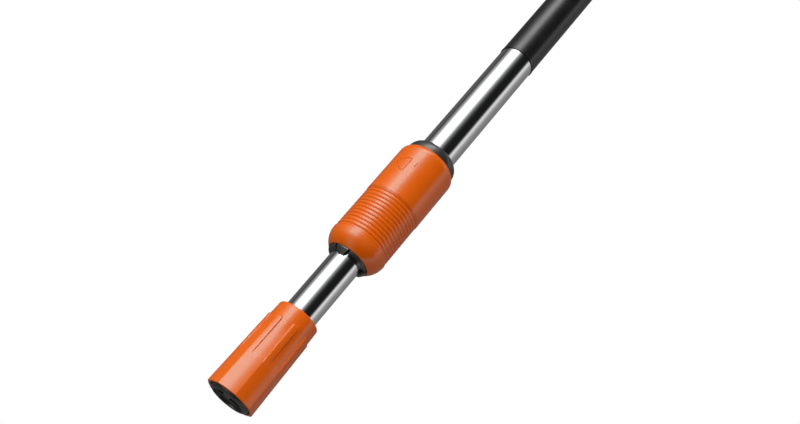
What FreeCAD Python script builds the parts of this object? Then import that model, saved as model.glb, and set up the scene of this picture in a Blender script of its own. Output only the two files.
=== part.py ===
import FreeCAD, Part
import Sketcher
import math
import os

from FreeCAD import Placement, Rotation, Vector

# Telescopic window cleaning pole. It lies along X: the tool end is at the origin,
# the operator's end points along +X and +Z is up. All sizes are in millimetres.
# "Roll" is an angle about X, counted from +Z towards -Y.

doc = FreeCAD.newDocument("CleaningPole")
sheet = doc.addObject("Spreadsheet::Sheet", "Sizes")

DRIVING = {
    # inner tube, thinner and polished
    "innerTubeRadius": 12.5,
    "innerTubeWall": 1.2,
    "innerTubeStart": 24.0,
    "innerTubeEnd": 644.0,
    # outer tube
    "outerTubeRadius": 14.75,
    "outerTubeWall": 1.0,
    "outerTubeStart": 158.0,
    "outerTubeEnd": 724.0,
    # grip
    "gripStart": 361.0,
    "gripSkin": 0.45,
    "gripLip": 0.2,
    "gripLipLength": 1.4,
    # socket at the tool end
    "socketRoll": 20.4,
    "recessRadius": 12.0,
    "recessDepth": 1.8,
    "socketFloor": 2.4,
    "socketRimRadius": 16.2,
    "socketRimRound": 3.2,
    "socketLength": 24.0,
    "socketBore": 13.0,
    "slotWidth": 6.0,
    "slotInner": 0.2,
    "slotLongEnd": 9.6,
    "slotShortStart": 5.2,
    "slotShortEnd": 9.8,
    "insertPinPlace": 19.0,
    "insertPinFoot": 9.0,
    "corePinPlace": 44.0,
    "coreFront": 14.0,
    "coreEnd": 58.0,
    # lock plate and its keys
    "plateFront": 5.0,
    "plateThickness": 2.0,
    "plateRadius": 12.7,
    "plateSlotMargin": 0.5,
    "keyWidth": 3.0,
    "keyFoot": 10.8,
    "keyTip": 17.7,
    "lockTurn": 40.0,
    "pinRadius": 1.6,
    # ferrule, eight-sided with raised ribs
    "ferruleRoll": 2.9,
    "ferruleFront": 1.9,
    "ferruleCornerFront": 19.2,
    "pocketFoot": 30.3,
    "ferruleCornerFoot": 18.54,
    "pocketFloor": 36.1,
    "pocketCorner": 17.95,
    "ribTop": 64.3,
    "ribTopCorner": 17.75,
    "ribBackFoot": 18.0,
    "ribBackTop": 17.6,
    "facetCrown": 1.943,
    "ribSpread": 11.5,
    "ribDraft": 4.5,
    "bandRadius": 16.9,
    "bandTopRadius": 16.5,
    "bandRound": 1.3,
    "ferruleTop": 76.0,
    "ferruleBore": 15.0,
    "ferruleMouth": 16.9,
    "ferruleWebStart": 24.4,
    "ferruleWebEnd": 29.0,
    "runningGap": 0.08,
    "clipThickness": 2.0,
    "clipSpread": 320.0,
    "clipDepth": 0.5,
    "clipRadius": 14.6,
    "bushStart": 62.0,
    "bushEnd": 72.0,
    "ringSection": 0.75,
    # twist sleeve
    "sleeveRadius": 23.5,
    "sleeveWall": 2.7,
    "noseStart": 132.6,
    "noseOpening": 17.05,
    "noseLength": 13.4,
    "grooveFirst": 148.72,
    "groovePitch": 3.284,
    "grooveCount": 12,
    "grooveDepth": 0.55,
    "crestDrop": 0.3,
    "shoulderStart": 229.0,
    "sleeveEnd": 234.5,
    "sleeveEndRadius": 20.95,
    "webStart": 197.0,
    "webThickness": 4.0,
    "noseLip": 1.4,
    "noseCone": 8.9,
    "grooveShoulder": 0.33,
    "grooveFloor": 0.1,
    # collet round the inner tube
    "colletRoll": -11.6,
    "colletClearance": 0.05,
    "colletRadius": 16.7,
    "colletFront": 130.4,
    "tabReach": 2.2,
    "tabAngle": 34.0,
    "tabBevel": 2.4,
    "slitSpread": 20.0,
    "slitWidth": 1.6,
    "slitEnd": 150.0,
    "coneStart": 141.0,
    "coneEnd": 150.0,
    "coneDrop": 1.4,
    "colletFlange": 17.2,
    "colletFlangeFront": 154.0,
    "colletTail": 180.0,
    # taper nut that squeezes the collet
    "nutStart": 142.0,
    "nutLength": 8.0,
    "nutGap": 0.12,
    "nutKeyWidth": 4.0,
    "nutKeyHeight": 1.6,
    "nutKeyEnd": 172.0,
    # barrel fixed to the outer tube
    "barrelRadius": 17.2,
    "barrelShoulderStart": 203.0,
    "barrelShoulderEnd": 208.0,
    "barrelShoulder": 20.4,
    "barrelEnd": 222.0,
    "barrelRivetPlace": 186.0,
    "snapDepth": 0.9,
    "railWidth": 2.0,
    "washerThickness": 1.8,
    "snapThickness": 2.0,
    "snapReach": 19.6,
    "collarSpigot": 20.55,
    "collarEdge": 234.8,
    "collarRadius": 20.8,
    "collarEnd": 244.6,
    "collarTipRadius": 15.1,
    "collarDome": 8.6,
    # hidden end of the inner tube
    "guideStart": 606.0,
    "guideSlit": 2.0,
    "bushRivetPlace": 612.0,
    "plugStart": 620.0,
    "plugHead": 4.0,
    # end cap
    "capPlugStart": 704.0,
    "capRadius": 15.1,
    "capRound": 5.0,
    "capRivetPlace": 714.0,
    "capBodyEnd": 738.0,
    "eyeCentre": 750.0,
    "eyeRadius": 4.5,
    "tongueHalfWidth": 11.0,
    "tongueThickness": 9.0,
}

for row, (alias, number) in enumerate(DRIVING.items(), start=1):
    sheet.set("A%d" % row, alias)
    sheet.set("B%d" % row, str(number))
    sheet.setAlias("B%d" % row, alias)
doc.recompute()


class Size:
    """A length or angle together with the sheet expression that drives it."""

    def __init__(self, value, text):
        self.value = float(value)
        self.text = text

    def combine(self, other, sign, result):
        return Size(result, "(%s %s %s)" % (self.text, sign, toSize(other).text))

    def __add__(self, other):
        return self.combine(other, "+", self.value + toSize(other).value)

    def __sub__(self, other):
        return self.combine(other, "-", self.value - toSize(other).value)

    def __mul__(self, other):
        return self.combine(other, "*", self.value * toSize(other).value)

    def __truediv__(self, other):
        return self.combine(other, "/", self.value / toSize(other).value)

    def __neg__(self):
        return Size(-self.value, "(0 - %s)" % self.text)

    def sin(self):
        return Size(math.sin(math.radians(self.value)), "sin(%s)" % self.text)

    def cos(self):
        return Size(math.cos(math.radians(self.value)), "cos(%s)" % self.text)

def toSize(number):
    return number if isinstance(number, Size) else Size(number, "%.6g" % number)


def size(alias):
    return Size(sheet.get(alias), "Sizes.%s" % alias)


def bind(thing, path, amount):
    """Tie one property of an object to the sheet."""
    thing.setExpression(path, toSize(amount).text)


def originPlane(body, role):
    for feature in body.Origin.OriginFeatures:
        if feature.Role == role:
            return feature
    raise ValueError(role)


def arcCentre(start, end, radius, side):
    """Centre of the arc from start to end; side is +1 for a centre on the left."""
    middle = (start + end) * 0.5
    chord = end - start
    normal = Vector(-chord.y, chord.x, 0).normalize()
    height = math.sqrt(max(radius ** 2 - (chord.Length / 2) ** 2, 0))
    return middle + normal * (height * side)


def outline(sketch, points):
    """Closed outline through points (x, y) or (x, y, radius, side of an arc that follows)."""
    places = [Vector(toSize(p[0]).value, toSize(p[1]).value, 0) for p in points]
    ends = []
    for index, point in enumerate(points):
        start, end = places[index], places[(index + 1) % len(places)]
        if len(point) == 4:
            radius, side = toSize(point[2]), point[3]
            centre = arcCentre(start, end, radius.value, side)
            circle = Part.Circle(centre, Vector(0, 0, 1), radius.value)
            first, last = (start, end) if side > 0 else (end, start)
            arc = Part.ArcOfCircle(circle, circle.parameter(first), circle.parameter(last))
            edge = sketch.addGeometry(arc, False)
            ends.append((edge, 1, 2) if side > 0 else (edge, 2, 1))
            rule = sketch.addConstraint(Sketcher.Constraint("Radius", edge, radius.value))
            bind(sketch, "Constraints[%d]" % rule, radius)
        else:
            edge = sketch.addGeometry(Part.LineSegment(start, end), False)
            ends.append((edge, 1, 2))
    for index, point in enumerate(points):
        edge, head, tail = ends[index]
        after = ends[(index + 1) % len(ends)]
        sketch.addConstraint(Sketcher.Constraint("Coincident", edge, tail, after[0], after[1]))
        for kind, amount in (("DistanceX", toSize(point[0])), ("DistanceY", toSize(point[1]))):
            if kind == "DistanceY" and abs(amount.value) < 1e-9:
                sketch.addConstraint(Sketcher.Constraint("PointOnObject", edge, head, -1))
                continue
            if kind == "DistanceX" and abs(amount.value) < 1e-9:
                sketch.addConstraint(Sketcher.Constraint("PointOnObject", edge, head, -2))
                continue
            rule = sketch.addConstraint(
                Sketcher.Constraint(kind, -1, 1, edge, head, amount.value))
            bind(sketch, "Constraints[%d]" % rule, amount)


def newBody(label, roll=None):
    body = doc.addObject("PartDesign::Body", "Body")
    body.Label = label
    if roll is not None:
        body.Placement = Placement(Vector(), Rotation(Vector(1, 0, 0), roll.value))
        bind(body, "Placement.Rotation.Angle", roll)
    return body


def newSketch(body, role, points, offset=None):
    sketch = body.newObject("Sketcher::SketchObject", "Sketch")
    sketch.AttachmentSupport = [(originPlane(body, role), "")]
    sketch.MapMode = "FlatFace"
    if offset is not None:
        bind(sketch, "AttachmentOffset.Base.z", offset)
    outline(sketch, points)
    return sketch


def turned(body, points, kind="PartDesign::Revolution"):
    """Turn a profile of (x, radius) points about the pole's axis."""
    sketch = newSketch(body, "XY_Plane", points)
    feature = body.newObject(kind, "Turned")
    feature.Profile = sketch
    feature.ReferenceAxis = (sketch, ["H_Axis"])
    feature.Angle = 360
    body.Tip = feature
    return feature


def ring(label, start, end, inner, outer, roll=None):
    body = newBody(label, roll)
    turned(body, [(start, inner), (end, inner), (end, outer), (start, outer)])
    return body


def radialPin(label, x, roll, radius, inner, outer):
    """Round pin along a radius of the pole."""
    pin = doc.addObject("Part::Cylinder", "Pin")
    pin.Label = label
    bind(pin, "Radius", radius)
    bind(pin, "Height", outer - inner)
    bind(pin, "Placement.Base.x", x)
    bind(pin, "Placement.Base.y", -(inner * roll.sin()))
    bind(pin, "Placement.Base.z", inner * roll.cos())
    pin.Placement.Rotation = Rotation(Vector(1, 0, 0), roll.value)
    bind(pin, "Placement.Rotation.Angle", roll)
    return pin


def block(label, low, high, roll=None):
    """Box between two corners, turned about the pole's axis by roll."""
    box = doc.addObject("Part::Box", "Block")
    box.Label = label
    for side, first, last in zip(("Length", "Width", "Height"), low, high):
        bind(box, side, toSize(last) - toSize(first))
    if roll is None:
        roll = toSize(0)
    box.Placement.Rotation = Rotation(Vector(1, 0, 0), roll.value)
    bind(box, "Placement.Rotation.Angle", roll)
    bind(box, "Placement.Base.x", low[0])
    y, z = toSize(low[1]), toSize(low[2])
    bind(box, "Placement.Base.y", y * roll.cos() - z * roll.sin())
    bind(box, "Placement.Base.z", y * roll.sin() + z * roll.cos())
    return box


def united(label, pieces):
    group = doc.addObject("Part::MultiFuse", "United")
    group.Label = label
    group.Shapes = pieces
    return group


def gathered(label, pieces):
    """Several equal solids that share one node."""
    group = doc.addObject("Part::Compound", "Gathered")
    group.Label = label
    group.Links = pieces
    return group


def without(label, base, tools):
    """The base with the tools cut away."""
    base.Label = label + "_blank"
    cut = doc.addObject("Part::Cut", "Cut")
    cut.Base = base
    cut.Tool = tools[0] if len(tools) == 1 else united(label + "_tools", tools)
    cut.Label = label
    return cut


def sector(label, start, end, inner, outer, roll, spread):
    """Part of a ring that begins at roll and covers spread degrees."""
    body = newBody(label, roll + 90)
    feature = turned(body, [(start, inner), (end, inner), (end, outer), (start, outer)])
    bind(feature, "Angle", spread)
    return body


# --- shared sizes ---------------------------------------------------------------------

tubeR = size("innerTubeRadius")
tubeBore = tubeR - size("innerTubeWall")
outerR = size("outerTubeRadius")
outerBore = outerR - size("outerTubeWall")
socketRoll = size("socketRoll")
keyRoll = size("ferruleRoll") + 67.5
pinR = size("pinRadius")
clipStart = size("ferruleWebEnd") + 0.4  # small play behind the ferrule's web
snapEnd = size("webStart") - 0.3
overshoot = 1.0  # how far a cutting tool stands out of what it cuts
recessOfPin = 0.1  # a pin's end lies this far below the surface round it


def octagonCorner(radius, index, lean=0):
    angle = toSize(22.5 + 45 * index) + lean
    return (-(radius * angle.sin()), radius * angle.cos())


def corePin():
    reach = tubeR - recessOfPin
    return radialPin("core_pin", size("corePinPlace"), toSize(0), pinR, -reach, reach)


def pair(label, x, roll, inner, outer):
    """Two opposite pins as one node."""
    pins = [radialPin(label + side, x, roll + turn, pinR, inner, outer)
            for side, turn in (("_a", 0), ("_b", 180))]
    return gathered(label, pins)


def plateKeys():
    half = size("keyWidth") / 2
    low = (size("plateFront"), -half, size("keyFoot"))
    high = (size("plateFront") + size("plateThickness"), half, size("keyTip"))
    return gathered("plate_keys", [block("key", low, high, keyRoll + turn) for turn in (0, 180)])


def slotBlocks(margin, start, end):
    """The long and the short slot of the socket."""
    half = size("slotWidth") / 2 + margin
    spans = ((-(size("slotLongEnd") + margin), -(size("slotInner") - margin)),
             (size("slotShortStart") - margin, size("slotShortEnd") + margin))
    return [block("slot", (start, low, -half), (end, high, half), socketRoll)
            for low, high in spans]


def innerTube(tools):
    start, end = size("innerTubeStart"), size("innerTubeEnd")
    clipEnd = clipStart + size("clipThickness")
    floor = tubeR - size("clipDepth")
    body = newBody("tube")
    turned(body, [(start, tubeBore), (end, tubeBore), (end, tubeR), (clipEnd, tubeR),
                  (clipEnd, floor), (clipStart, floor), (clipStart, tubeR), (start, tubeR)])
    return without("inner_tube", body, tools)


def socketInsert(pins):
    rim, rounding = size("socketRimRadius"), size("socketRimRound")
    recess, depth = size("recessRadius"), size("recessDepth")
    back = depth + size("socketFloor")
    length, bore = size("socketLength"), size("socketBore")
    body = newBody("insert")
    turned(body, [(0, recess), (0, rim - rounding, rounding, -1), (rounding, rim), (length, rim),
                  (length, bore), (back, bore), (back, 0), (depth, 0), (depth, recess)])
    play, keyHalfAngle = 0.2, 8
    front = size("plateFront") - play
    rear = size("plateFront") + size("plateThickness") + play
    windows = [sector("window", front, rear, bore - overshoot, rim + overshoot,
                      keyRoll + turn - keyHalfAngle, size("lockTurn") + keyHalfAngle * 2)
               for turn in (0, 180)]
    slots = slotBlocks(0, depth - overshoot, back + play)
    return without("socket_insert", body, windows + slots + [pins])


def socketCore(tools):
    start, end, shoulder = size("coreFront"), size("coreEnd"), size("socketLength")
    bore = size("socketBore")
    body = newBody("core")
    turned(body, [(start, 0), (end, 0), (end, tubeBore), (shoulder, tubeBore),
                  (shoulder, bore), (start, bore)])
    return without("socket_core", body, tools)


def lockPlate(keys):
    start = size("plateFront")
    end = start + size("plateThickness")
    body = newBody("plate")
    turned(body, [(start, 0), (end, 0), (end, size("plateRadius")), (start, size("plateRadius"))])
    slots = slotBlocks(size("plateSlotMargin"), start - overshoot, end + overshoot)
    return without("lock_plate", body, slots + [keys])


def ferrule(keys):
    body = newBody("ferrule_body", size("ferruleRoll"))
    sections = []
    for place, corner in (("ferruleFront", "ferruleCornerFront"), ("pocketFoot", "ferruleCornerFoot"),
                          ("pocketFloor", "pocketCorner"), ("ribTop", "bandRadius")):
        crown = size(corner) * size("facetCrown")
        points = [octagonCorner(size(corner), index) + (crown, 1) for index in range(8)]
        sections.append(newSketch(body, "YZ_Plane", points, size(place)))
    shell = body.newObject("PartDesign::AdditiveLoft", "Shell")
    shell.Profile = sections[0]
    shell.Sections = sections[1:]
    shell.Ruled = True
    body.Tip = shell
    top, band, bore = size("ferruleTop"), size("bandRadius"), size("ferruleBore")
    rounding, bandTop = size("bandRound"), size("bandTopRadius")
    # round core inside the eight-sided shell; it comes out of it as the plain band
    coreStart, coreR, core = size("pocketFloor") - 3, band - 0.7, bore - overshoot
    turned(body, [(coreStart, core), (top, core), (top, bandTop - rounding, rounding, 1),
                  (top - rounding, bandTop), (size("ribTop"), band), (coreStart, coreR)])
    # raised rib: it starts on the corner line and stands up to the plain band
    spread, draft, inner = size("ribSpread"), size("ribDraft"), bore + 0.5
    foot = [octagonCorner(size("ferruleCornerFoot"), 0),
            octagonCorner(size("ribBackFoot"), 0, spread),
            octagonCorner(inner, 0, spread), octagonCorner(inner, 0)]
    head = [octagonCorner(size("ribTopCorner"), 0), octagonCorner(size("ribBackTop"), 0, spread),
            octagonCorner(inner, 0, spread + 1), octagonCorner(inner, 0, -(draft * 1.6))]
    ends = [newSketch(body, "YZ_Plane", foot, size("pocketFoot")),
            newSketch(body, "YZ_Plane", head, size("ribTop"))]
    rib = body.newObject("PartDesign::AdditiveLoft", "Rib")
    rib.Profile = ends[0]
    rib.Sections = ends[1:]
    rib.Ruled = True
    body.Tip = rib
    doc.recompute()
    ribs = body.newObject("PartDesign::PolarPattern", "Ribs")
    ribs.Originals = [rib]
    ribs.Axis = (originPlane(body, "X_Axis"), [""])
    ribs.Angle = 360
    ribs.Occurrences = 8
    body.Tip = ribs
    mouth, web = size("ferruleMouth"), tubeR + size("runningGap")
    webStart, webEnd = size("ferruleWebStart"), size("ferruleWebEnd")
    front = size("ferruleFront") - overshoot
    turned(body, [(front, 0), (top + overshoot, 0), (top + overshoot, bore), (webEnd, bore), (webEnd, web),
                  (webStart, web), (webStart, mouth), (front, mouth)], "PartDesign::Groove")
    return without("ferrule", body, [keys])



ringPlay = 0.05


def ferruleBush():
    start, end = size("bushStart"), size("bushEnd")
    outer = size("ferruleBore") - size("runningGap")
    middle = (start + end) / 2
    half = size("ringSection") + ringPlay
    floor = size("ferruleBore") - ringPlay - size("ringSection") * 2
    body = newBody("ferrule_bush")
    turned(body, [(start, tubeR), (end, tubeR), (end, outer), (middle + half, outer),
                  (middle + half, floor), (middle - half, floor), (middle - half, outer), (start, outer)])
    return body


def frictionRing():
    torus = doc.addObject("Part::Torus", "Torus")
    torus.Label = "friction_ring"
    bind(torus, "Radius1", size("ferruleBore") - ringPlay - size("ringSection"))
    bind(torus, "Radius2", size("ringSection"))
    torus.Placement.Rotation = Rotation(Vector(0, 1, 0), 90)
    bind(torus, "Placement.Base.x", (size("bushStart") + size("bushEnd")) / 2)
    return torus


def ferruleClip():
    spread = size("clipSpread")
    return sector("ferrule_clip", clipStart, clipStart + size("clipThickness"),
                  tubeR - size("clipDepth"), size("clipRadius"), toSize(180) - spread / 2, spread)


def twistSleeve():
    outer, wall = size("sleeveRadius"), size("sleeveWall")
    bore = outer - wall
    nose, opening, length = size("noseStart"), size("noseOpening"), size("noseLength")
    rise = outer - opening
    noseRound = (length * length + rise * rise) / (rise * 2)
    points = [(nose, opening, noseRound, -1), (nose + length, outer)]
    crest = outer - size("crestDrop")
    floor = crest - size("grooveDepth")
    pitch = size("groovePitch")
    points.append((nose + length, crest))
    for index in range(int(size("grooveCount").value)):
        centre = size("grooveFirst") + pitch * index
        shoulder, foot = pitch * size("grooveShoulder"), pitch * size("grooveFloor")
        points += [(centre - shoulder, crest), (centre - foot, floor),
                   (centre + foot, floor), (centre + shoulder, crest)]
    plain = size("grooveFirst") + pitch * (size("grooveCount") - 0.5)
    end, endR, shoulder = size("sleeveEnd"), size("sleeveEndRadius"), size("shoulderStart")
    run, drop = end - shoulder, outer - endR
    shoulderRound = (run * run + drop * drop) / (drop * 2)
    webStart = size("webStart")
    webEnd = webStart + size("webThickness")
    web = size("barrelRadius") + size("runningGap")
    points += [(plain, crest), (plain, outer), (shoulder, outer, shoulderRound, -1), (end, endR),
               (end, bore), (webEnd, bore), (webEnd, web), (webStart, web), (webStart, bore),
               (nose + size("noseCone"), bore), (nose + size("noseLip"), opening)]
    body = newBody("twist_sleeve")
    turned(body, points)
    return body


def collet():
    inner = tubeR + size("colletClearance")
    outer, flange = size("colletRadius"), size("colletFlange")
    front, reach = size("colletFront"), size("tabReach")
    tip = front - reach
    coneStart, coneEnd = size("coneStart"), size("coneEnd")
    neck = outer - size("coneDrop")
    flangeFront, flangeBack = size("colletFlangeFront"), size("outerTubeStart")
    roll = size("colletRoll")
    body = newBody("collet_body", roll)
    turned(body, [(tip, inner), (size("colletTail"), inner), (size("colletTail"), outerBore),
                  (flangeBack, outerBore), (flangeBack, flange), (flangeFront, flange),
                  (flangeFront, neck), (coneEnd, neck), (coneStart, outer),
                  (front + size("tabBevel") / 2, outer), (tip, outer - size("tabBevel"))])
    half = size("tabAngle") / 2 + 2
    slit, low = size("slitWidth") / 2, inner - overshoot
    tools = []
    for third in range(3):
        centre = roll + 120 * third
        tools.append(sector("gap", tip - overshoot, front, low, outer + overshoot, centre + half,
                            toSize(120) - half * 2))
        for side in (-1, 1):
            tools.append(block("slit", (tip - overshoot, -slit, low),
                               (size("slitEnd"), slit, flange + overshoot),
                               centre + size("slitSpread") * side))
    return without("collet", body, tools)


def taperNut():
    start, gap = size("nutStart"), size("nutGap")
    end = start + size("nutLength")
    slope = size("coneDrop") / (size("coneEnd") - size("coneStart"))
    front = size("colletRadius") - slope * (start - size("coneStart")) + gap
    back = size("colletRadius") - slope * (end - size("coneStart")) + gap
    outer = size("sleeveRadius") - size("sleeveWall") - size("runningGap")
    body = newBody("nut")
    turned(body, [(start, front), (end, back), (end, outer), (start, outer)])
    half = size("nutKeyWidth") / 2
    foot = size("barrelRadius") + 0.2
    keys = [block("nut_key", (end - overshoot, -half, foot),
                  (size("nutKeyEnd"), half, foot + size("nutKeyHeight")),
                  toSize(120 * third)) for third in range(3)]
    return united("taper_nut", [body] + keys)


def clampBarrel(rivets):
    outer, shoulder = size("barrelRadius"), size("barrelShoulder")
    start, end = size("outerTubeStart"), size("barrelEnd")
    stepStart, stepEnd = size("barrelShoulderStart"), size("barrelShoulderEnd")
    snapStart = snapEnd - size("snapThickness")
    floor = outer - size("snapDepth")
    body = newBody("barrel")
    turned(body, [(start, outerR), (end, outerR), (end, outer), (stepEnd, outer), (stepEnd, shoulder),
                  (stepStart, shoulder), (stepStart, outer), (snapEnd, outer), (snapEnd, floor),
                  (snapStart, floor), (snapStart, outer), (start, outer)])
    # pairs of rails keep the nut's keys from turning
    near = size("nutKeyWidth") / 2 + 0.15
    far = near + size("railWidth")
    rails = []
    for third in range(3):
        for low, high in ((-far, -near), (near, far)):
            rails.append(block("rail", (start + 2, low, outer - 1),
                               (size("nutKeyEnd") + 8, high, outer + 2), toSize(120 * third)))
    return without("clamp_barrel", united("barrel_with_rails", [body] + rails), [rivets])


def stopRing():
    return sector("stop_ring", snapEnd - size("snapThickness"), snapEnd,
                  size("barrelRadius") - size("snapDepth"), size("snapReach"), toSize(15), toSize(330))


def rearCollar():
    start, edge, end = size("barrelEnd"), size("collarEdge"), size("collarEnd")
    spigot, outer, tip = size("collarSpigot"), size("collarRadius"), size("collarTipRadius")
    body = newBody("rear_collar")
    turned(body, [(start, outerR), (end, outerR), (end, tip, size("collarDome"), 1), (edge, outer),
                  (edge, spigot), (start, spigot)])
    return body


def gripSleeve():
    start, end = size("gripStart"), size("outerTubeEnd")
    skin = outerR + size("gripSkin")
    lip, lipEnd = skin + size("gripLip"), start + size("gripLipLength")
    body = newBody("grip_sleeve")
    turned(body, [(start, outerR), (end, outerR), (end, skin), (lipEnd + 0.2, skin),
                  (lipEnd, lip), (start, lip)])
    return body


def endCap(rivet):
    plug, tubeEnd = size("capPlugStart"), size("outerTubeEnd")
    radius, back = size("capRadius"), size("capBodyEnd")
    rounding = size("capRound")
    body = newBody("cap_plug")
    turned(body, [(plug, 0), (back, 0), (back, radius - rounding, rounding, 1),
                  (back - rounding, radius), (tubeEnd, radius), (tubeEnd, outerBore), (plug, outerBore)])
    width, thick = size("tongueHalfWidth"), size("tongueThickness") / 2
    eye = size("eyeCentre")
    tongue = block("tongue", (back - 8, -width, -thick), (eye, width, thick))
    tools = []
    for label, radius in (("tongue_end", width), ("eye", size("eyeRadius"))):
        disc = doc.addObject("Part::Cylinder", "Disc")
        disc.Label = label
        bind(disc, "Radius", radius)
        bind(disc, "Height", thick * 2)
        bind(disc, "Placement.Base.x", eye)
        bind(disc, "Placement.Base.z", -thick)
        tools.append(disc)
    return without("end_cap", united("cap_solid", [body, tongue, tools[0]]), [tools[1], rivet])


def guideBush(rivets):
    body = ring("bush", size("guideStart"), size("innerTubeEnd"), tubeR, outerBore - 0.06)
    half = size("guideSlit") / 2
    slit = block("bush_slit", (size("guideStart") - overshoot, -half, tubeR - overshoot),
                 (size("innerTubeEnd") + overshoot, half, outerBore + overshoot), toSize(90))
    return without("guide_bush", body, [slit, rivets])


def tailPlug():
    start, end = size("plugStart"), size("innerTubeEnd")
    head = end + size("plugHead")
    body = newBody("tail_plug")
    turned(body, [(start, 0), (head, 0), (head, tubeR - 0.2), (end, tubeR - 0.2), (end, tubeBore),
                  (start, tubeBore)])
    return body


# --- the pole -------------------------------------------------------------------------

corePinBody = corePin()
insertPins = pair("insert_pins", size("insertPinPlace"), socketRoll, size("insertPinFoot"),
                  size("socketRimRadius") - recessOfPin)
bushRivets = pair("bush_rivets", size("bushRivetPlace"), toSize(0), tubeBore, outerBore - 0.3)
barrelRivets = pair("barrel_rivets", size("barrelRivetPlace"), toSize(90), outerBore,
                    size("barrelRadius") - recessOfPin)
capReach = outerR - recessOfPin * 2
capRivet = radialPin("cap_rivet", size("capRivetPlace"), toSize(90), pinR, -capReach, capReach)
keys = plateKeys()

pieces = [
    innerTube([corePinBody, bushRivets]),
    socketInsert(insertPins),
    socketCore([corePinBody, insertPins]),
    insertPins,
    corePinBody,
    lockPlate(keys),
    keys,
    ferrule(keys),
    ferruleBush(),
    frictionRing(),
    ferruleClip(),
    twistSleeve(),
    collet(),
    taperNut(),
    clampBarrel(barrelRivets),
    barrelRivets,
    ring("thrust_washer", size("barrelShoulderStart") - size("washerThickness"),
         size("barrelShoulderStart"), size("barrelRadius") + 0.05, size("barrelShoulder") - 0.1),
    stopRing(),
    rearCollar(),
    without("outer_tube", ring("tube_outer", size("outerTubeStart"), size("outerTubeEnd"),
                               outerBore, outerR), [barrelRivets, capRivet]),
    gripSleeve(),
    endCap(capRivet),
    capRivet,
    guideBush(bushRivets),
    bushRivets,
    tailPlug(),
]
doc.recompute()

faults = [item.Label for item in doc.Objects if "Invalid" in item.State or "Error" in item.State]
for piece in pieces:
    if piece.Shape.isNull() or not piece.Shape.isValid() or piece.Shape.Volume <= 0:
        faults.append(piece.Label)
if faults:
    raise RuntimeError("not well made: " + ", ".join(faults))

os.makedirs("parts", exist_ok=True)
for piece in pieces:
    piece.Shape.exportStep("parts/%s.step" % piece.Label)
    box = piece.Shape.BoundBox
    print("%-16s solids %d volume %9.1f mm3  x %7.2f..%7.2f  r %5.2f" % (
        piece.Label, len(piece.Shape.Solids), piece.Shape.Volume, box.XMin, box.XMax, box.YMax))
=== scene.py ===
import bpy
import bmesh
import math
from mathutils import Matrix, Vector


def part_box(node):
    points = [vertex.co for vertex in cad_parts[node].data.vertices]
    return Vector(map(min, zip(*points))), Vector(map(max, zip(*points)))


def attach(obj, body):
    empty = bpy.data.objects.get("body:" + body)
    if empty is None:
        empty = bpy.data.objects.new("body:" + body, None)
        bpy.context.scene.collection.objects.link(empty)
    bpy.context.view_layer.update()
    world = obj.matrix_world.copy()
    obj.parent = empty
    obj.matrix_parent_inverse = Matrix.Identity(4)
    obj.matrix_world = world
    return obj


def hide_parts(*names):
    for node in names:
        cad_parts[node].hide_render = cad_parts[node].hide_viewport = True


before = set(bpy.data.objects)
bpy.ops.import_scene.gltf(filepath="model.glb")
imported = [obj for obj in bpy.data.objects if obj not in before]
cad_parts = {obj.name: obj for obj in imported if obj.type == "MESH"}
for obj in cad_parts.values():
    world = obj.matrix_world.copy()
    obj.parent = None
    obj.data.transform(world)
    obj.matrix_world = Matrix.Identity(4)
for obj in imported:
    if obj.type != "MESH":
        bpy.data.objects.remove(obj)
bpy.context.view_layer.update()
mm = 0.001  # sizes in the dictionaries are millimetres, x runs along the pole

# a roll is an angle about the pole, counted from straight up towards -Y


def clearSelection():
    if bpy.context.mode != "OBJECT":
        bpy.ops.object.mode_set(mode="OBJECT")
    bpy.ops.object.select_all(action="DESELECT")


def spanOf(node):
    # where a frame piece starts and ends along the pole, in mm
    low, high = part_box(node)
    return round(low.x / mm, 3), round(high.x / mm, 3)


def rollPoint(x, radius, roll):
    angle = math.radians(roll)
    return Vector((x, -radius * math.sin(angle), radius * math.cos(angle))) * mm


def rollOf(co):
    return math.degrees(math.atan2(-co.y, co.z))


def eased(amount, soft):
    amount = min(max(amount, 0.0), 1.0)
    slope = 1 / (1 - soft)
    if amount < soft:
        return slope * amount * amount / (2 * soft)
    if amount > 1 - soft:
        return 1 - slope * (1 - amount) ** 2 / (2 * soft)
    return slope * (amount - soft / 2)


def arcLine(start, end, radius, side, steps):
    # points after start up to end on an arc; side picks the bulge
    a, b = Vector(start), Vector(end)
    chord = b - a
    across = Vector((-chord.y, chord.x)).normalized()
    height = math.sqrt(max(radius ** 2 - (chord.length / 2) ** 2, 0))
    centre = (a + b) / 2 + across * height * side
    first, last = (a - centre).normalized(), (b - centre).normalized()
    return [tuple(centre + first.slerp(last, n / steps) * radius) for n in range(1, steps + 1)]


def roundedLine(points, steps=5):
    # closed outline of (x, radius) or (x, radius, rounding) corners
    line = []
    for index, point in enumerate(points):
        here = Vector(point[:2])
        if len(point) < 3:
            line.append(tuple(here))
            continue
        back = (Vector(points[index - 1][:2]) - here).normalized()
        ahead = (Vector(points[(index + 1) % len(points)][:2]) - here).normalized()
        half = back.angle(ahead) / 2
        rounding = point[2]
        first = here + back * (rounding / math.tan(half))
        last = here + ahead * (rounding / math.tan(half))
        centre = here + (back + ahead).normalized() * (rounding / math.sin(half))
        a, b = (first - centre).normalized(), (last - centre).normalized()
        line += [tuple(centre + a.slerp(b, n / steps) * rounding) for n in range(steps + 1)]
    return line


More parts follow.
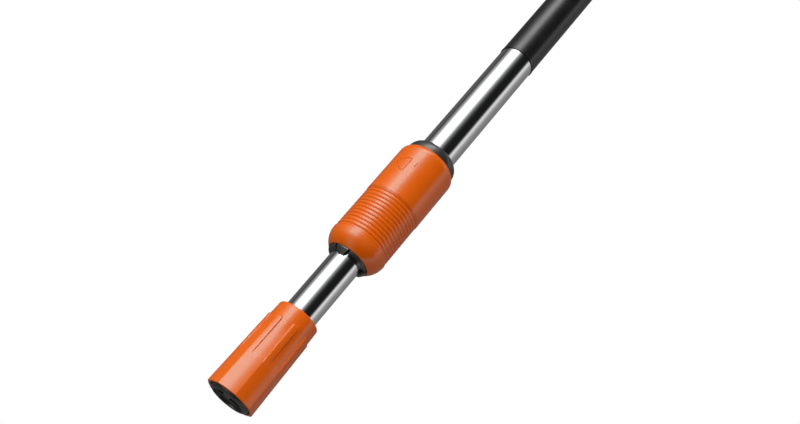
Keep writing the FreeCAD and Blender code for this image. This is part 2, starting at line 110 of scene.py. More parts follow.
def turnedShape(name, line, sides, sharp=32):
    # a ring is extruded from station to station; a radius of 0 closes on the axis
    solid = line[0][1] == 0
    path = list(line) if solid else list(line) + [line[0]]
    tiny = 0.02
    path = [(x, max(r, tiny)) for x, r in path]
    clearSelection()
    bpy.ops.mesh.primitive_circle_add(vertices=sides, radius=path[0][1] * mm, fill_type="NOTHING",
                                      location=(path[0][0] * mm, 0, 0),
                                      rotation=(0, math.radians(90), 0))
    piece = bpy.context.active_object
    piece.name = piece.data.name = name
    bpy.ops.object.transform_apply(location=True, rotation=True, scale=True)
    bpy.ops.object.mode_set(mode="EDIT")
    bpy.ops.mesh.select_mode(type="EDGE")
    bpy.ops.mesh.select_all(action="SELECT")
    for (x0, r0), (x1, r1) in zip(path, path[1:]):
        bpy.ops.mesh.extrude_edges_move(
            TRANSFORM_OT_translate={"value": ((x1 - x0) * mm, 0, 0)})
        if abs(r1 - r0) > 1e-7:
            bpy.ops.transform.resize(value=(1, r1 / r0, r1 / r0), center_override=(x1 * mm, 0, 0))
    bpy.ops.mesh.select_all(action="SELECT")
    bpy.ops.mesh.remove_doubles(threshold=0.05 * mm if solid else 1e-6)
    bpy.ops.mesh.normals_make_consistent(inside=False)
    bpy.ops.object.mode_set(mode="OBJECT")
    bpy.ops.object.shade_smooth_by_angle(angle=math.radians(sharp))
    return piece


def applyModifier(piece, kind, **settings):
    clearSelection()
    piece.select_set(True)
    bpy.context.view_layer.objects.active = piece
    bpy.ops.object.modifier_add(type=kind)
    modifier = piece.modifiers[-1]
    for key, value in settings.items():
        setattr(modifier, key, value)
    bpy.ops.object.modifier_apply(modifier=modifier.name)


def blockShape(low, high, roll=0):
    # a box between two corners in mm, turned about the pole; used as a cutter
    clearSelection()
    centre = [(a + b) / 2 for a, b in zip(low, high)]
    bpy.ops.mesh.primitive_cube_add(size=1, location=[c * mm for c in centre])
    block = bpy.context.active_object
    block.scale = [(b - a) * mm for a, b in zip(low, high)]
    bpy.ops.object.transform_apply(location=True, rotation=True, scale=True)
    block.data.transform(Matrix.Rotation(math.radians(roll), 4, "X"))
    return block


def bentBlock(low, high, roll, sweep, steps=16):
    # a block bent round the pole; low and high are (x, radius) corners in mm
    clearSelection()
    x, radius = [(a + b) / 2 * mm for a, b in zip(low, high)]
    bpy.ops.mesh.primitive_plane_add(size=1, location=(x, 0, radius), rotation=(math.radians(90), 0, 0))
    block = bpy.context.active_object
    block.scale = ((high[0] - low[0]) * mm, (high[1] - low[1]) * mm, 1)
    bpy.ops.object.transform_apply(location=True, rotation=True, scale=True)
    block.data.transform(Matrix.Rotation(math.radians(roll), 4, "X"))
    bpy.ops.object.mode_set(mode="EDIT")
    bpy.ops.mesh.select_all(action="SELECT")
    bpy.ops.mesh.spin(steps=steps, angle=math.radians(sweep), center=(0, 0, 0), axis=(-1, 0, 0))
    bpy.ops.mesh.select_all(action="SELECT")
    bpy.ops.mesh.normals_make_consistent(inside=False)
    bpy.ops.object.mode_set(mode="OBJECT")
    return block


def cutAway(piece, cutter, operation="DIFFERENCE"):
    applyModifier(piece, "BOOLEAN", object=cutter, operation=operation, solver="EXACT")
    bpy.data.objects.remove(cutter, do_unlink=True)


def finishPiece(piece, body, node, material, sharp=32, even=True):
    clearSelection()
    piece.select_set(True)
    bpy.context.view_layer.objects.active = piece
    bpy.ops.object.shade_smooth_by_angle(angle=math.radians(sharp))
    if even:
        applyModifier(piece, "WEIGHTED_NORMAL", keep_sharp=True, weight=50)
    piece.data.materials.clear()
    piece.data.materials.append(material)
    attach(piece, body)
    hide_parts(node)
    return piece


def addNode(tree, kind, values=None, **settings):
    node = tree.nodes.new(kind)
    for key, value in settings.items():
        setattr(node, key, value)
    for key, value in (values or {}).items():
        node.inputs[key].default_value = value
    return node


def newGroup(name, inputs, outputs):
    tree = bpy.data.node_groups.new(name, "ShaderNodeTree")
    for label, kind, start in inputs:
        socket = tree.interface.new_socket(name=label, in_out="INPUT", socket_type=kind)
        if start is not None:
            socket.default_value = start
    for label, kind in outputs:
        tree.interface.new_socket(name=label, in_out="OUTPUT", socket_type=kind)
    return tree, tree.nodes.new("NodeGroupInput"), tree.nodes.new("NodeGroupOutput")


def mathNode(tree, operation, a, b=None, clamp=False):
    node = addNode(tree, "ShaderNodeMath", operation=operation, use_clamp=clamp)
    for index, value in enumerate((a, b)):
        if value is None:
            continue
        if isinstance(value, (int, float)):
            node.inputs[index].default_value = value
        else:
            tree.links.new(value, node.inputs[index])
    return node.outputs[0]


def spread(tree, source, low, high, first=0.0, last=1.0):
    node = addNode(tree, "ShaderNodeMapRange", {"From Min": low, "From Max": high,
                                                "To Min": first, "To Max": last})
    tree.links.new(source, node.inputs["Value"])
    return node.outputs["Result"]


def makeMouldedGrain():
    # fine spark-eroded mould texture with slow unevenness in gloss and tone
    tree, start, end = newGroup(
        "mouldedGrain",
        [("Vector", "NodeSocketVector", None), ("Grain Scale", "NodeSocketFloat", 2600.0),
         ("Cloud Scale", "NodeSocketFloat", 60.0)],
        [("Height", "NodeSocketFloat"), ("Gloss", "NodeSocketFloat"), ("Tone", "NodeSocketFloat")])
    grain = addNode(tree, "ShaderNodeTexNoise", {"Detail": 3.0, "Roughness": 0.6})
    pits = addNode(tree, "ShaderNodeTexVoronoi", feature="SMOOTH_F1")
    cloud = addNode(tree, "ShaderNodeTexNoise", {"Detail": 4.0, "Roughness": 0.55})
    for node, scale in ((grain, "Grain Scale"), (pits, "Grain Scale"), (cloud, "Cloud Scale")):
        tree.links.new(start.outputs["Vector"], node.inputs["Vector"])
        tree.links.new(start.outputs[scale], node.inputs["Scale"])
    mixed = mathNode(tree, "MULTIPLY_ADD", pits.outputs["Distance"], 0.5)
    tree.links.new(grain.outputs["Fac"], mixed.node.inputs[2])
    tree.links.new(mixed, end.inputs["Height"])
    tree.links.new(spread(tree, cloud.outputs["Fac"], 0.3, 0.7), end.inputs["Gloss"])
    tree.links.new(spread(tree, grain.outputs["Fac"], 0.25, 0.75), end.inputs["Tone"])
    return tree


def makeHandlingMarks():
    # thin scuffs in two directions, broken up so that they come and go
    tree, start, end = newGroup(
        "handlingMarks",
        [("Vector", "NodeSocketVector", None), ("Amount", "NodeSocketFloat", 0.5)],
        [("Mask", "NodeSocketFloat")])
    masks = []
    for turn, scale in ((0.5, (90, 1500, 1500)), (-0.8, (1300, 120, 1400))):
        place = addNode(tree, "ShaderNodeMapping", {"Scale": scale, "Rotation": (turn, turn * 0.6, turn)})
        tree.links.new(start.outputs["Vector"], place.inputs["Vector"])
        lines = addNode(tree, "ShaderNodeTexNoise", {"Scale": 1.0, "Detail": 2.0})
        tree.links.new(place.outputs["Vector"], lines.inputs["Vector"])
        masks.append(spread(tree, lines.outputs["Fac"], 0.68, 0.76))
    breaks = addNode(tree, "ShaderNodeTexNoise", {"Scale": 95.0, "Detail": 2.0})
    tree.links.new(start.outputs["Vector"], breaks.inputs["Vector"])
    both = mathNode(tree, "MAXIMUM", masks[0], masks[1])
    there = mathNode(tree, "MULTIPLY", both, spread(tree, breaks.outputs["Fac"], 0.5, 0.65))
    tree.links.new(mathNode(tree, "MULTIPLY", there, start.outputs["Amount"]), end.inputs["Mask"])
    return tree


def makeEdgeWearAndHollowShade():
    # ridges rubbed a little paler, which is wear; hollows a little darker, which is painted shade
    tree, start, end = newGroup(
        "edgeWearAndHollowShade",
        [("Vector", "NodeSocketVector", None), ("Amount", "NodeSocketFloat", 0.5)],
        [("Ridge", "NodeSocketFloat"), ("ShadedHollow", "NodeSocketFloat")])
    geometry = addNode(tree, "ShaderNodeNewGeometry")
    patches = addNode(tree, "ShaderNodeTexNoise", {"Scale": 240.0, "Detail": 5.0})
    tree.links.new(start.outputs["Vector"], patches.inputs["Vector"])
    uneven = spread(tree, patches.outputs["Fac"], 0.35, 0.65)
    ridge = spread(tree, geometry.outputs["Pointiness"], 0.52, 0.62)
    ridge = mathNode(tree, "MULTIPLY", ridge, uneven)
    tree.links.new(mathNode(tree, "MULTIPLY", ridge, start.outputs["Amount"]), end.inputs["Ridge"])
    # painted shade: low pointiness (grooves, creases, inside corners) gives the darkening mask
    hollowShade = spread(tree, geometry.outputs["Pointiness"], 0.49, 0.42)
    tree.links.new(mathNode(tree, "MULTIPLY", hollowShade, start.outputs["Amount"]), end.inputs["ShadedHollow"])
    return tree


def makeDrawnLines():
    # faint lines along the tube left by drawing, and cross polish round it
    tree, start, end = newGroup(
        "drawnLines",
        [("Vector", "NodeSocketVector", None)],
        [("Height", "NodeSocketFloat"), ("Smear", "NodeSocketFloat")])
    parts = []
    for scale, detail in (((6, 1500, 1500), 3.0), ((900, 60, 60), 4.0)):
        place = addNode(tree, "ShaderNodeMapping", {"Scale": scale})
        tree.links.new(start.outputs["Vector"], place.inputs["Vector"])
        lines = addNode(tree, "ShaderNodeTexNoise", {"Scale": 1.0, "Detail": detail})
        tree.links.new(place.outputs["Vector"], lines.inputs["Vector"])
        parts.append(lines.outputs["Fac"])
    tree.links.new(mathNode(tree, "ADD", parts[0], mathNode(tree, "MULTIPLY", parts[1], 0.3)),
                   end.inputs["Height"])
    smear = addNode(tree, "ShaderNodeTexNoise", {"Scale": 45.0, "Detail": 5.0, "Roughness": 0.6})
    tree.links.new(start.outputs["Vector"], smear.inputs["Vector"])
    tree.links.new(spread(tree, smear.outputs["Fac"], 0.35, 0.7), end.inputs["Smear"])
    return tree


def makeSettledDust():
    # a thin grey film on what looks up, thicker in patches
    tree, start, end = newGroup(
        "settledDust",
        [("Vector", "NodeSocketVector", None), ("Amount", "NodeSocketFloat", 0.1)],
        [("Mask", "NodeSocketFloat")])
    geometry = addNode(tree, "ShaderNodeNewGeometry")
    split = addNode(tree, "ShaderNodeSeparateXYZ")
    tree.links.new(geometry.outputs["Normal"], split.inputs[0])
    patches = addNode(tree, "ShaderNodeTexNoise", {"Scale": 130.0, "Detail": 6.0, "Roughness": 0.65})
    tree.links.new(start.outputs["Vector"], patches.inputs["Vector"])
    up = spread(tree, split.outputs["Z"], 0.1, 0.9)
    film = mathNode(tree, "MULTIPLY", up, spread(tree, patches.outputs["Fac"], 0.4, 0.75))
    tree.links.new(mathNode(tree, "MULTIPLY", film, start.outputs["Amount"]), end.inputs["Mask"])
    return tree


groups = {
    "grain": makeMouldedGrain(),
    "marks": makeHandlingMarks(),
    "wearAndShade": makeEdgeWearAndHollowShade(),
    "lines": makeDrawnLines(),
    "dust": makeSettledDust(),
}
print("shared finishes made")


def placeGroup(tree, key, vector, **values):
    node = addNode(tree, "ShaderNodeGroup", node_tree=groups[key])
    tree.links.new(vector, node.inputs["Vector"])
    for label, value in values.items():
        node.inputs[label.replace("_", " ")].default_value = value
    return node


def mixColour(tree, factor, a, b):
    node = addNode(tree, "ShaderNodeMix", data_type="RGBA")
    for index, value in ((0, factor), (6, a), (7, b)):
        if isinstance(value, (int, float)):
            node.inputs[index].default_value = value
        elif isinstance(value, tuple):
            node.inputs[index].default_value = (*value, 1.0)
        else:
            tree.links.new(value, node.inputs[index])
    return node.outputs[2]


def newMaterial(name):
    material = bpy.data.materials.new(name)
    material.use_nodes = True
    tree = material.node_tree
    tree.nodes.clear()
    output = tree.nodes.new("ShaderNodeOutputMaterial")
    shader = tree.nodes.new("ShaderNodeBsdfPrincipled")
    tree.links.new(shader.outputs[0], output.inputs["Surface"])
    where = tree.nodes.new("ShaderNodeTexCoord").outputs["Object"]
    return material, tree, shader, where


dustColour = (0.42, 0.4, 0.37)


def mouldedPlastic(name, look):
    material, tree, shader, where = newMaterial(name)
    grain = placeGroup(tree, "grain", where, Grain_Scale=look["grainScale"])
    wearAndShade = placeGroup(tree, "wearAndShade", where, Amount=look["wearAndShade"])
    marks = placeGroup(tree, "marks", where, Amount=look["marks"])
    dust = placeGroup(tree, "dust", where, Amount=look["dust"])
    colour = mixColour(tree, grain.outputs["Tone"], look["colour"], look["colourDeep"])
    # painted shade: grooves and creases take the darker hollow colour
    colour = mixColour(tree, wearAndShade.outputs["ShadedHollow"], colour, look["hollowShade"])
    colour = mixColour(tree, wearAndShade.outputs["Ridge"], colour, look["rubbed"])
    colour = mixColour(tree, dust.outputs["Mask"], colour, dustColour)
    tree.links.new(colour, shader.inputs["Base Color"])
    rough = spread(tree, grain.outputs["Gloss"], 0, 1, look["rough"][0], look["rough"][1])
    scuffed = mathNode(tree, "MULTIPLY", marks.outputs["Mask"], 0.14)
    dusty = mathNode(tree, "MULTIPLY", dust.outputs["Mask"], 0.3)
    rough = mathNode(tree, "ADD", mathNode(tree, "ADD", rough, scuffed), dusty, clamp=True)
    tree.links.new(rough, shader.inputs["Roughness"])
    bump = addNode(tree, "ShaderNodeBump", {"Strength": look["bump"], "Distance": 0.00004})
    height = mathNode(tree, "SUBTRACT", grain.outputs["Height"],
                      mathNode(tree, "MULTIPLY", marks.outputs["Mask"], 0.8))
    tree.links.new(height, bump.inputs["Height"])
    tree.links.new(bump.outputs["Normal"], shader.inputs["Normal"])
    shader.inputs["Specular IOR Level"].default_value = look["specular"]
    shader.inputs["Specular Tint"].default_value = (*look["shine"], 1.0)
    return material


def metalFinish(name, look):
    material, tree, shader, where = newMaterial(name)
    lines = placeGroup(tree, "lines", where)
    marks = placeGroup(tree, "marks", where, Amount=look["marks"])
    colour = mixColour(tree, lines.outputs["Smear"], look["colour"], look["colourDeep"])
    tree.links.new(colour, shader.inputs["Base Color"])
    rough = spread(tree, lines.outputs["Smear"], 0, 1, look["rough"][0], look["rough"][1])
    scuffed = mathNode(tree, "MULTIPLY", marks.outputs["Mask"], 0.2)
    rough = mathNode(tree, "ADD", rough, scuffed, clamp=True)
    tree.links.new(rough, shader.inputs["Roughness"])
    bump = addNode(tree, "ShaderNodeBump", {"Strength": look["bump"], "Distance": 0.00001})
    tree.links.new(lines.outputs["Height"], bump.inputs["Height"])
    tree.links.new(bump.outputs["Normal"], shader.inputs["Normal"])
    shader.inputs["Metallic"].default_value = 1.0
    return material


# in each look, hollow is a painted shade colour for grooves and creases; wear sets both the rubbed ridges
# and that shade
orangeLook = {
    "colour": (0.84, 0.143, 0.003), "colourDeep": (0.80, 0.130, 0.002),
    "hollowShade": (0.46, 0.05, 0.001), "rubbed": (0.88, 0.19, 0.012),
    "grainScale": 2600.0, "rough": (0.16, 0.21), "wearAndShade": 0.3, "marks": 0.25, "dust": 0.012,
    "bump": 0.08, "specular": 0.72,
    "shine": (0.2, 1.0, 1.0)}
orangeShell = mouldedPlastic("orangeShell", orangeLook)
# the grooved sleeve gets stronger painted shade in its grooves, besides more rubbed ridges
orangeGrooved = mouldedPlastic("orangeGrooved", {**orangeLook, "wearAndShade": 0.9})
darkShell = mouldedPlastic("darkShell", {
    "colour": (0.034, 0.036, 0.036), "colourDeep": (0.024, 0.026, 0.026),
    "hollowShade": (0.014, 0.015, 0.015), "rubbed": (0.07, 0.072, 0.072),
    "grainScale": 2300.0, "rough": (0.27, 0.36), "wearAndShade": 0.5, "marks": 0.35, "dust": 0.04,
    "bump": 0.14, "specular": 0.85, "shine": (1.0, 1.0, 1.0)})
gripSkin = mouldedPlastic("gripSkin", {
    "colour": (0.012, 0.012, 0.013), "colourDeep": (0.008, 0.008, 0.009),
    "hollowShade": (0.006, 0.006, 0.006), "rubbed": (0.03, 0.03, 0.032),
    "grainScale": 3200.0, "rough": (0.24, 0.31), "wearAndShade": 0.3, "marks": 0.4, "dust": 0.02,
    "bump": 0.10, "specular": 0.62, "shine": (1.0, 1.0, 1.0)})
softBumper = mouldedPlastic("softBumper", {
    "colour": (0.02, 0.02, 0.021), "colourDeep": (0.012, 0.012, 0.013),
    "hollowShade": (0.008, 0.008, 0.008), "rubbed": (0.05, 0.05, 0.052),
    "grainScale": 1500.0, "rough": (0.6, 0.75), "wearAndShade": 0.4, "marks": 0.2, "dust": 0.15,
    "bump": 0.3, "specular": 0.4, "shine": (1.0, 1.0, 1.0)})
slipPlastic = mouldedPlastic("slipPlastic", {
    "colour": (0.72, 0.71, 0.66), "colourDeep": (0.66, 0.65, 0.6),
    "hollowShade": (0.5, 0.49, 0.45), "rubbed": (0.8, 0.8, 0.77),
    "grainScale": 1900.0, "rough": (0.36, 0.48), "wearAndShade": 0.3, "marks": 0.5, "dust": 0.05,
    "bump": 0.1, "specular": 0.5, "shine": (1.0, 1.0, 1.0)})
polishedTube = metalFinish("polishedTube", {
    "colour": (0.80, 0.81, 0.82), "colourDeep": (0.76, 0.77, 0.78),
    "rough": (0.085, 0.12), "marks": 0.12, "bump": 0.12})
plainSteel = metalFinish("plainSteel", {
    "colour": (0.56, 0.57, 0.58), "colourDeep": (0.47, 0.47, 0.48),
    "rough": (0.22, 0.36), "marks": 0.6, "bump": 0.5})
rivetMetal = metalFinish("rivetMetal", {
    "colour": (0.68, 0.69, 0.70), "colourDeep": (0.6, 0.6, 0.61),
    "rough": (0.18, 0.28), "marks": 0.5, "bump": 0.4})

finishes = {
    "orange_plastic": orangeShell, "dark_plastic": darkShell, "polished_tube": polishedTube,
    "grip_rubber": gripSkin, "soft_rubber": softBumper, "slide_plastic": slipPlastic,
    "bare_steel": plainSteel, "rivet_metal": rivetMetal}
nodeFinish = {
    "barrel_rivets": "rivet_metal", "bush_rivets": "rivet_metal", "cap_rivet": "rivet_metal",
    "clamp_barrel": "dark_plastic", "collet": "dark_plastic", "core_pin": "bare_steel",
    "end_cap": "dark_plastic", "ferrule": "orange_plastic", "ferrule_bush": "slide_plastic",
    "ferrule_clip": "bare_steel", "friction_ring": "soft_rubber", "grip_sleeve": "grip_rubber",
    "guide_bush": "slide_plastic", "inner_tube": "polished_tube", "insert_pins": "bare_steel",
    "lock_plate": "bare_steel", "outer_tube": "polished_tube", "plate_keys": "bare_steel",
    "rear_collar": "dark_plastic", "socket_core": "dark_plastic", "socket_insert": "dark_plastic",
    "stop_ring": "bare_steel", "tail_plug": "soft_rubber", "taper_nut": "slide_plastic",
    "thrust_washer": "slide_plastic", "twist_sleeve": "orange_plastic"}
for nodeName, finish in nodeFinish.items():
    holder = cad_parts[nodeName]
    if not holder.material_slots:
        holder.data.materials.append(None)
    for place in holder.material_slots:
        place.link = "OBJECT"
        place.material = finishes[finish]
print("finishes on the frame's own pieces")


# the two polished tubes
tubeLook = {"sides": 192, "edge": 0.18,
            "inner": {"radius": 12.5, "wall": 1.2}, "outer": {"radius": 14.75, "wall": 1.0}}


def makeTube(name, tube, body, node):
    start, end = spanOf(node)
    outside, inside = tube["radius"], tube["radius"] - tube["wall"]
    edge = tubeLook["edge"]
    line = roundedLine([(start, inside, edge), (start, outside, edge),
                        (end, outside, edge), (end, inside, edge)], 3)
    piece = turnedShape(name, line, tubeLook["sides"])
    return finishPiece(piece, body, node, polishedTube)


makeTube("innerTubePolished", tubeLook["inner"], "inner_pole", "inner_tube")
makeTube("outerTubePolished", tubeLook["outer"], "outer_pole", "outer_tube")
print("tubes made")


# black grip with a small lip at its edge
gripLook = {"sides": 192, "skin": 15.2, "lip": 15.4, "lipLength": 1.4, "lipRound": 0.3, "softEdge": 0.15,
            "endRound": 0.2}


def makeGrip():
    g = gripLook
    start, end = spanOf("grip_sleeve")
    tube = tubeLook["outer"]["radius"]
    lipEnd = start + g["lipLength"]
    line = roundedLine([(start, tube), (start, g["lip"], g["lipRound"]),
                        (lipEnd, g["lip"], g["softEdge"]), (lipEnd + 0.3, g["skin"], g["softEdge"]),
                        (end, g["skin"], g["endRound"]), (end, tube)], 4)
    piece = turnedShape("gripSleeveSatin", line, g["sides"])
    return finishPiece(piece, "outer_pole", "grip_sleeve", gripSkin)


makeGrip()


# end cap: a plug in the tube, a rounded body and a flat tongue with the hanging eye
capLook = {"body": 14.0, "radius": 15.1, "round": 5.0, "eyeRadius": 4.5, "tongueHalf": 11.0,
           "tongueThick": 9.0, "tongueRoot": 8.0, "softEdge": 0.7}


def makeEndCap():
    c = capLook
    plugStart, tip = spanOf("end_cap")
    tubeEnd = spanOf("outer_tube")[1]
    bore = tubeLook["outer"]["radius"] - tubeLook["outer"]["wall"]
    bodyEnd = tubeEnd + c["body"]
    shell = roundedLine([(plugStart, 0), (plugStart, bore, 0.8), (tubeEnd, bore),
                         (tubeEnd, c["radius"], 0.25), (bodyEnd, c["radius"], c["round"]),
                         (bodyEnd, 0)], 7)
    piece = turnedShape("endCapMoulded", shell, 128)
    half, thick = c["tongueHalf"], c["tongueThick"]
    eyeX = tip - half
    tongue = blockShape((bodyEnd - c["tongueRoot"], -half, -thick / 2), (eyeX, half, thick / 2))
    for sides, radius, depth, operation in ((96, half, thick, "UNION"),
                                            (64, c["eyeRadius"], thick * 1.5, "DIFFERENCE")):
        clearSelection()
        bpy.ops.mesh.primitive_cylinder_add(vertices=sides, radius=radius * mm, depth=depth * mm,
                                            location=(eyeX * mm, 0, 0))
        disc = bpy.context.active_object
        bpy.ops.object.transform_apply(location=True, rotation=True, scale=True)
        cutAway(tongue, disc, operation)
    applyModifier(tongue, "BEVEL", width=c["softEdge"] * mm, segments=4, limit_method="ANGLE",
                  angle_limit=math.radians(40), use_clamp_overlap=True)
    cutAway(piece, tongue, "UNION")
    return finishPiece(piece, "outer_pole", "end_cap", darkShell)


makeEndCap()
print("grip and end cap made")


# dark domed ring that closes the twist lock's top
collarLook = {"sides": 192, "spigotLength": 12.8, "spigot": 20.55, "radius": 20.68, "tip": 15.1,
              "dome": 8.6}


def makeCollar():
    c = collarLook
    start, end = spanOf("rear_collar")
    tube = tubeLook["outer"]["radius"]
    edge = start + c["spigotLength"]
    line = [(start, tube), (start, c["spigot"]), (edge - 4, c["spigot"]), (edge, c["spigot"]),
            (edge, c["radius"])]
    line += arcLine((edge, c["radius"]), (end, c["tip"]), c["dome"], -1, 24)
    line += [(end - 0.15, tube + 0.1), (end - 1.2, tube)]
    piece = turnedShape("rearCollarDomed", line, c["sides"])
    return finishPiece(piece, "outer_pole", "rear_collar", darkShell)


makeCollar()


# collet: wide fingers, and three narrower tabs that stand further out
colletLook = {"roll": -11.6, "inner": 12.55, "tipRadius": 14.4, "outer": 16.7, "reach": 2.2,
              "fingerSpread": 38.0, "tabTaper": 0.7, "slit": 1.6, "slitSpread": 20.0, "neck": 15.3,
              "coneStart": 141.0, "coneEnd": 150.0, "flangeFront": 154.0, "flange": 17.2,
              "softEdge": 0.28}


def makeCollet():
    c = colletLook
    tip, tail = spanOf("collet")
    front = tip + c["reach"]
    flangeBack = spanOf("outer_tube")[0]
    bore = tubeLook["outer"]["radius"] - tubeLook["outer"]["wall"]
    line = [(tip, c["inner"]), (tip, c["tipRadius"]), (front + 1.2, c["outer"]),
            (c["coneStart"], c["outer"]), (c["coneEnd"], c["neck"]), (c["flangeFront"], c["neck"]),
            (c["flangeFront"], c["flange"]), (flangeBack, c["flange"]), (flangeBack, bore),
            (tail, bore), (tail, c["inner"])]
    piece = turnedShape("colletFingers", line, 180)
    spread = c["fingerSpread"]
    for third in range(3):
        centre = c["roll"] + 120 * third
        # the wide finger between two tabs is set back
        cutAway(piece, bentBlock((tip - 1, 11.5), (front, 18.5), centre + spread / 2, 120 - spread))
        for side in (-1, 1):
            slit = blockShape((tip - 1, -c["slit"] / 2, 11), (c["coneEnd"], c["slit"] / 2, 18.4),
                              centre + c["slitSpread"] * side)
            cutAway(piece, slit)
    for vertex in piece.data.vertices:  # the tabs narrow towards their tips
        if vertex.co.x / mm > front - 0.5:
            continue
        roll = rollOf(vertex.co)
        away = (roll - c["roll"] + 60) % 120 - 60
        radius = math.hypot(vertex.co.y, vertex.co.z) / mm
        vertex.co = rollPoint(vertex.co.x / mm, radius, roll - away * (1 - c["tabTaper"]))
    applyModifier(piece, "BEVEL", width=c["softEdge"] * mm, segments=3, limit_method="ANGLE",
                  angle_limit=math.radians(38), use_clamp_overlap=True)
    return finishPiece(piece, "outer_pole", "collet", darkShell, 40)


makeCollet()
print("collar and collet made")


# socket insert with its two slots, and the windows that the plate's keys turn in
socketLook = {"roll": 20.4, "rim": 15.9, "rimRound": 2.9, "recess": 12.0, "recessDepth": 1.8,
              "floor": 2.4, "bore": 13.0, "slotWidth": 6.0, "slotRound": 0.8,
              "slots": ((-9.6, -0.2), (5.2, 9.8)), "window": (4.8, 7.2), "windowRoll": 62.4,
              "windowSpread": 56.0, "softEdge": 0.2}


def makeSocket():
    s = socketLook
    length = spanOf("socket_insert")[1]
    back = s["recessDepth"] + s["floor"]
    rimTop = s["rim"] - s["rimRound"]
    line = [(s["recessDepth"], 0)]
    line += roundedLine([(s["recessDepth"], 0), (s["recessDepth"], s["recess"], 0.5),
                         (0, s["recess"] + 0.1, 0.45), (0, rimTop)], 5)[1:]
    line += arcLine((0, rimTop), (s["rimRound"], s["rim"]), s["rimRound"], -1, 14)
    line += [(length / 2, s["rim"]), (length, s["rim"]), (length, s["bore"]), (back, s["bore"]),
             (back, 0)]
    piece = turnedShape("socketInsertKeyed", line, 192)
    for low, high in s["slots"]:
        cutter = blockShape((-0.5, low, -s["slotWidth"] / 2), (back + 0.4, high, s["slotWidth"] / 2),
                            s["roll"])
        applyModifier(cutter, "BEVEL", width=s["slotRound"] * mm, segments=5, limit_method="ANGLE",
                      angle_limit=math.radians(40), use_clamp_overlap=True)
        cutAway(piece, cutter)
    for turn in (0, 180):
        start, end = s["window"]
        cutAway(piece, bentBlock((start, 12.5), (end, 17), s["windowRoll"] + turn, s["windowSpread"]))
    applyModifier(piece, "BEVEL", width=s["softEdge"] * mm, segments=3, limit_method="ANGLE",
                  angle_limit=math.radians(50), use_clamp_overlap=True)
    return finishPiece(piece, "inner_pole", "socket_insert", darkShell, 40)


makeSocket()
print("socket made")


# eight-sided ferrule: plain at the mouth, then a raised rib at each corner, then a round band
ferruleFront, ferruleTop = spanOf("ferrule")
ferruleLook = {
    "cornerRoll": 25.4, "frontCorner": 19.2, "pocketFoot": 30.3, "footCorner": 18.54,
    "floorStart": 36.1, "floorCorner": 17.95, "ribTop": 64.3, "ribTopCorner": 17.75,
    "ribBack": (18.0, 17.6), "ribSpread": 11.5, "rightWall": 1.8, "leftWall": (1.6, 4.6),
    "endRound": (1.3, 4.0), "coreFoot": 16.2, "coreX": 33.1, "band": 16.9, "bandTop": 16.5,
    "topRound": 1.3, "cornerSharpness": 150.0, "crown": 0.5, "lip": (0.34, 0.16, 0.06, 0.01),
    "mouth": 16.9, "bore": 15.0, "webStart": 24.4, "webEnd": 29.0, "web": 12.58}


def octagonRadius(corner, phi):
    # radius of a soft-cornered octagon; phi counts degrees from a corner line
    sharp = ferruleLook["cornerSharpness"]
    flat = corner * math.cos(math.radians(22.5))
    a = max(math.cos(math.radians(phi - 22.5)), 0.01)
    b = max(math.cos(math.radians(phi + 22.5)), 0.01)
    c = max(math.cos(math.radians(phi - 67.5)), 0.01)
    plain = flat / (a ** sharp + b ** sharp + c ** sharp) ** (1 / sharp)
    return plain * (1 - ferruleLook["crown"]) + corner * ferruleLook["crown"]


def softMax(a, b, blend=0.12):
    return (a + b + math.sqrt((a - b) ** 2 + blend ** 2)) / 2


def lerp(a, b, t):
    return a + (b - a) * min(max(t, 0), 1)


def ferruleSurface(x, phi, wallLeft):
    f = ferruleLook
    if x <= f["pocketFoot"] - 0.35:
        along = (x - ferruleFront) / (f["pocketFoot"] - ferruleFront)
        return octagonRadius(lerp(f["frontCorner"], f["footCorner"], along), phi)
    ramp = eased((x - f["pocketFoot"] + 0.3) / (f["floorStart"] - f["pocketFoot"]), 0.08)
    corner = lerp(f["footCorner"], f["floorCorner"], ramp)
    if x > f["floorStart"]:
        corner = lerp(f["floorCorner"], f["band"],
                      (x - f["floorStart"]) / (f["ribTop"] - f["floorStart"]))
    if x > f["ribTop"]:
        floor = lerp(f["band"], f["bandTop"], (x - f["ribTop"]) / (ferruleTop - f["ribTop"]))
    else:
        core = lerp(f["coreFoot"], f["band"], (x - f["coreX"]) / (f["ribTop"] - f["coreX"]))
        floor = softMax(octagonRadius(corner, phi), core)
    along = (x - f["pocketFoot"]) / (f["ribTop"] - f["pocketFoot"])
    head = lerp(f["footCorner"], f["ribTopCorner"], along)
    if phi <= f["ribSpread"] + f["rightWall"]:
        rise = 1 - eased((phi - f["ribSpread"]) / f["rightWall"], 0.45)
        spot = phi
    else:
        rise = eased((phi - (45 - wallLeft)) / wallLeft, 0.22)
        spot = 0
    back = lerp(f["ribBack"][0], f["ribBack"][1], along)
    rib = lerp(head, back, spot / f["ribSpread"])
    roundLong, roundWide = f["endRound"]
    bend = min(max((spot - f["ribSpread"] + roundWide) / roundWide, 0), 1)
    ribEnd = f["ribTop"] - 0.5 - roundLong * (1 - math.sqrt(1 - bend ** 2))
    stop = 1 - eased((x - ribEnd) / 0.9, 0.4)
    top = max(rib, floor)
    return floor + (top - floor) * rise * stop


